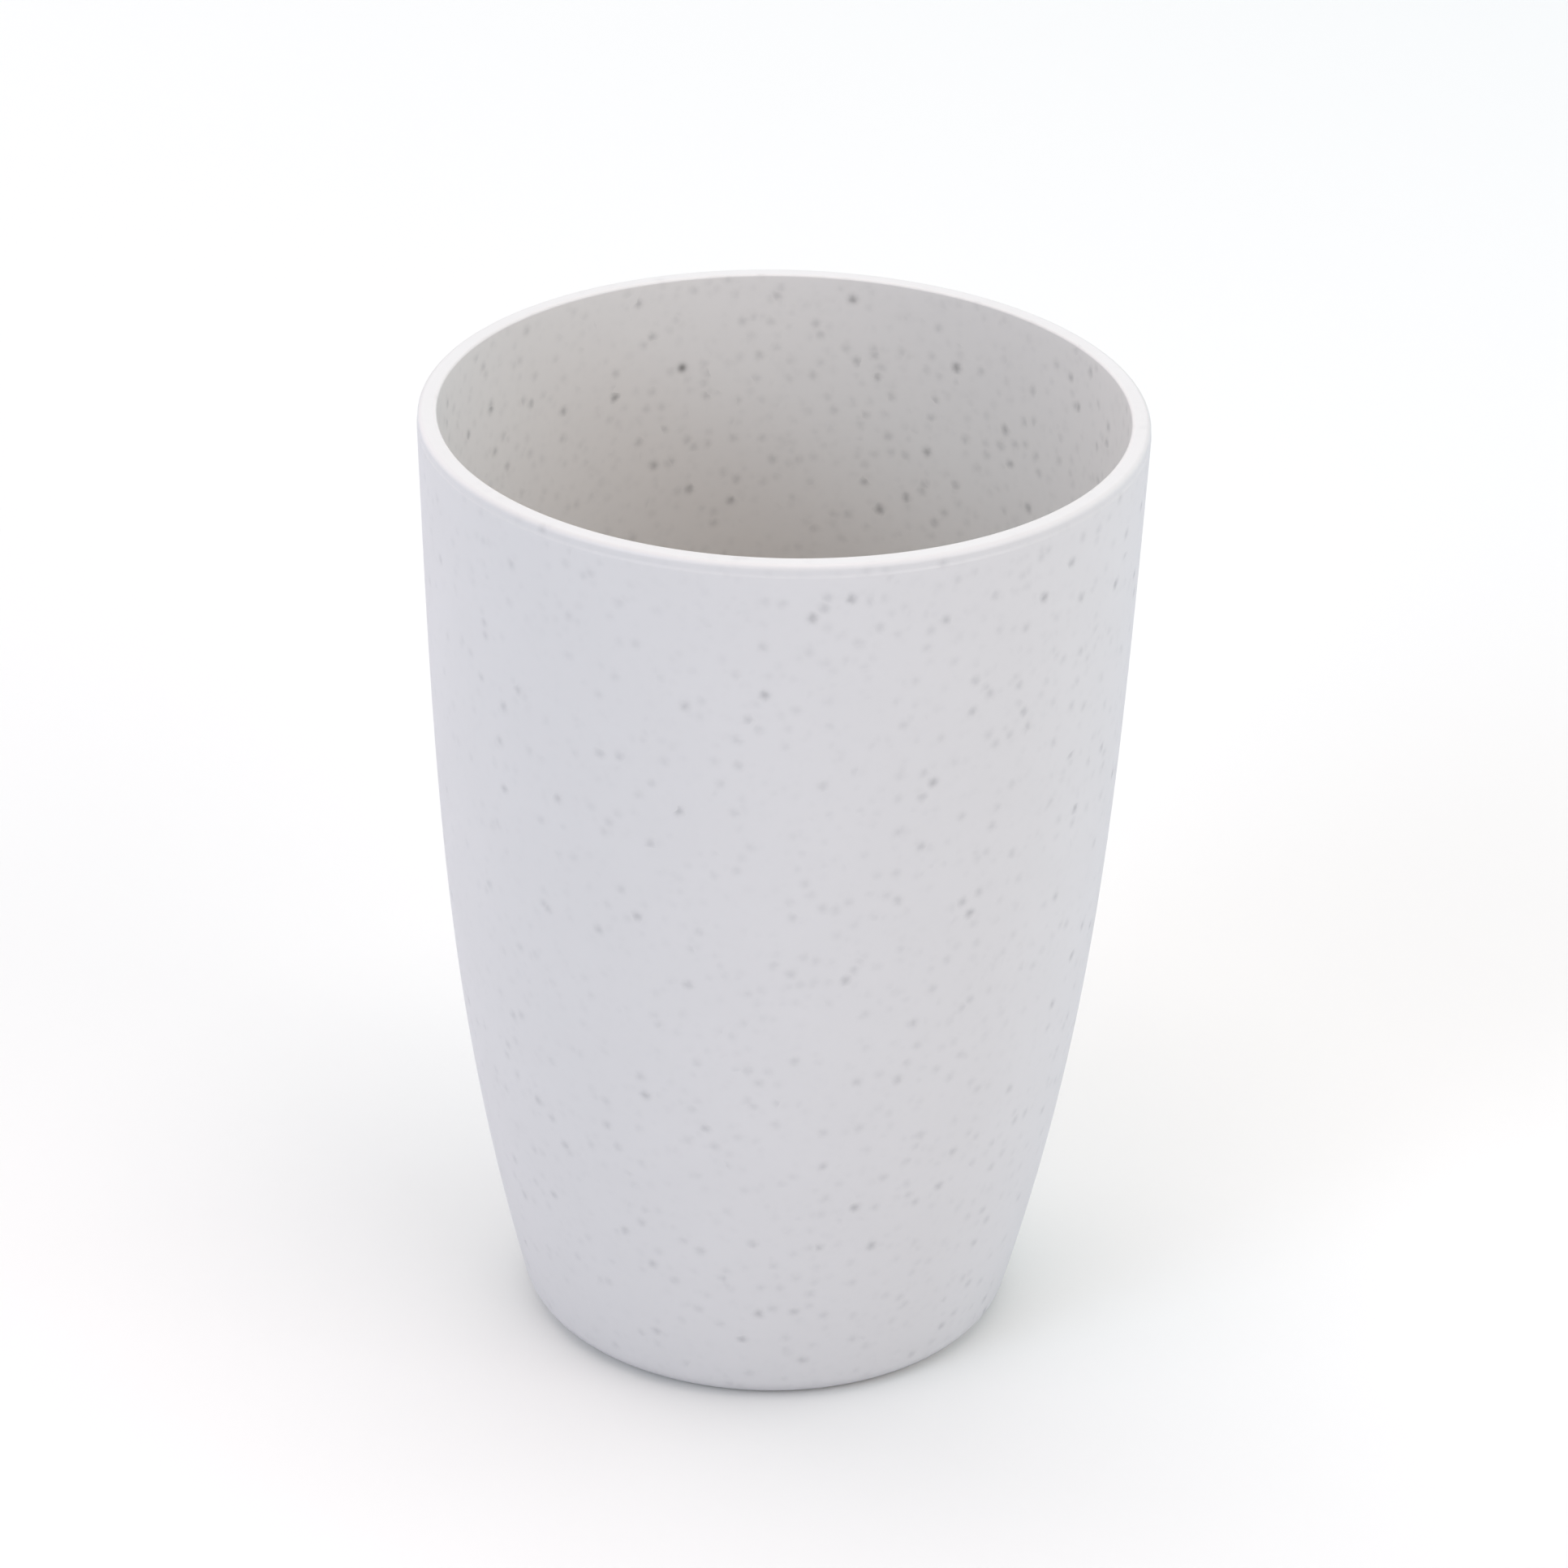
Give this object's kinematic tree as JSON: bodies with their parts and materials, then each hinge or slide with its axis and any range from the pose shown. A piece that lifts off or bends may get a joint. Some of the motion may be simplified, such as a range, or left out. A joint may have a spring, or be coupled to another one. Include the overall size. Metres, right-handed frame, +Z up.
{
  "type": "bathroom tumbler",
  "caption": "Tapered round cup with a curved side, a flat-topped lip and a recessed foot, for water or toothbrushes.",
  "frame": {"origin": "centre of the standing ring, on the surface that the cup stands on", "axes": "+Z up the cup's axis, from foot to mouth; X and Y are alike, because the cup is round"},
  "size_m": [0.0798, 0.0798, 0.11],
  "materials": {
    "cup_plastic": "silky semi-matt off-white with fine grey flecks"
  },
  "bodies": {
    "root": {"cup": "cup_plastic"}
  },
  "joints": []
}
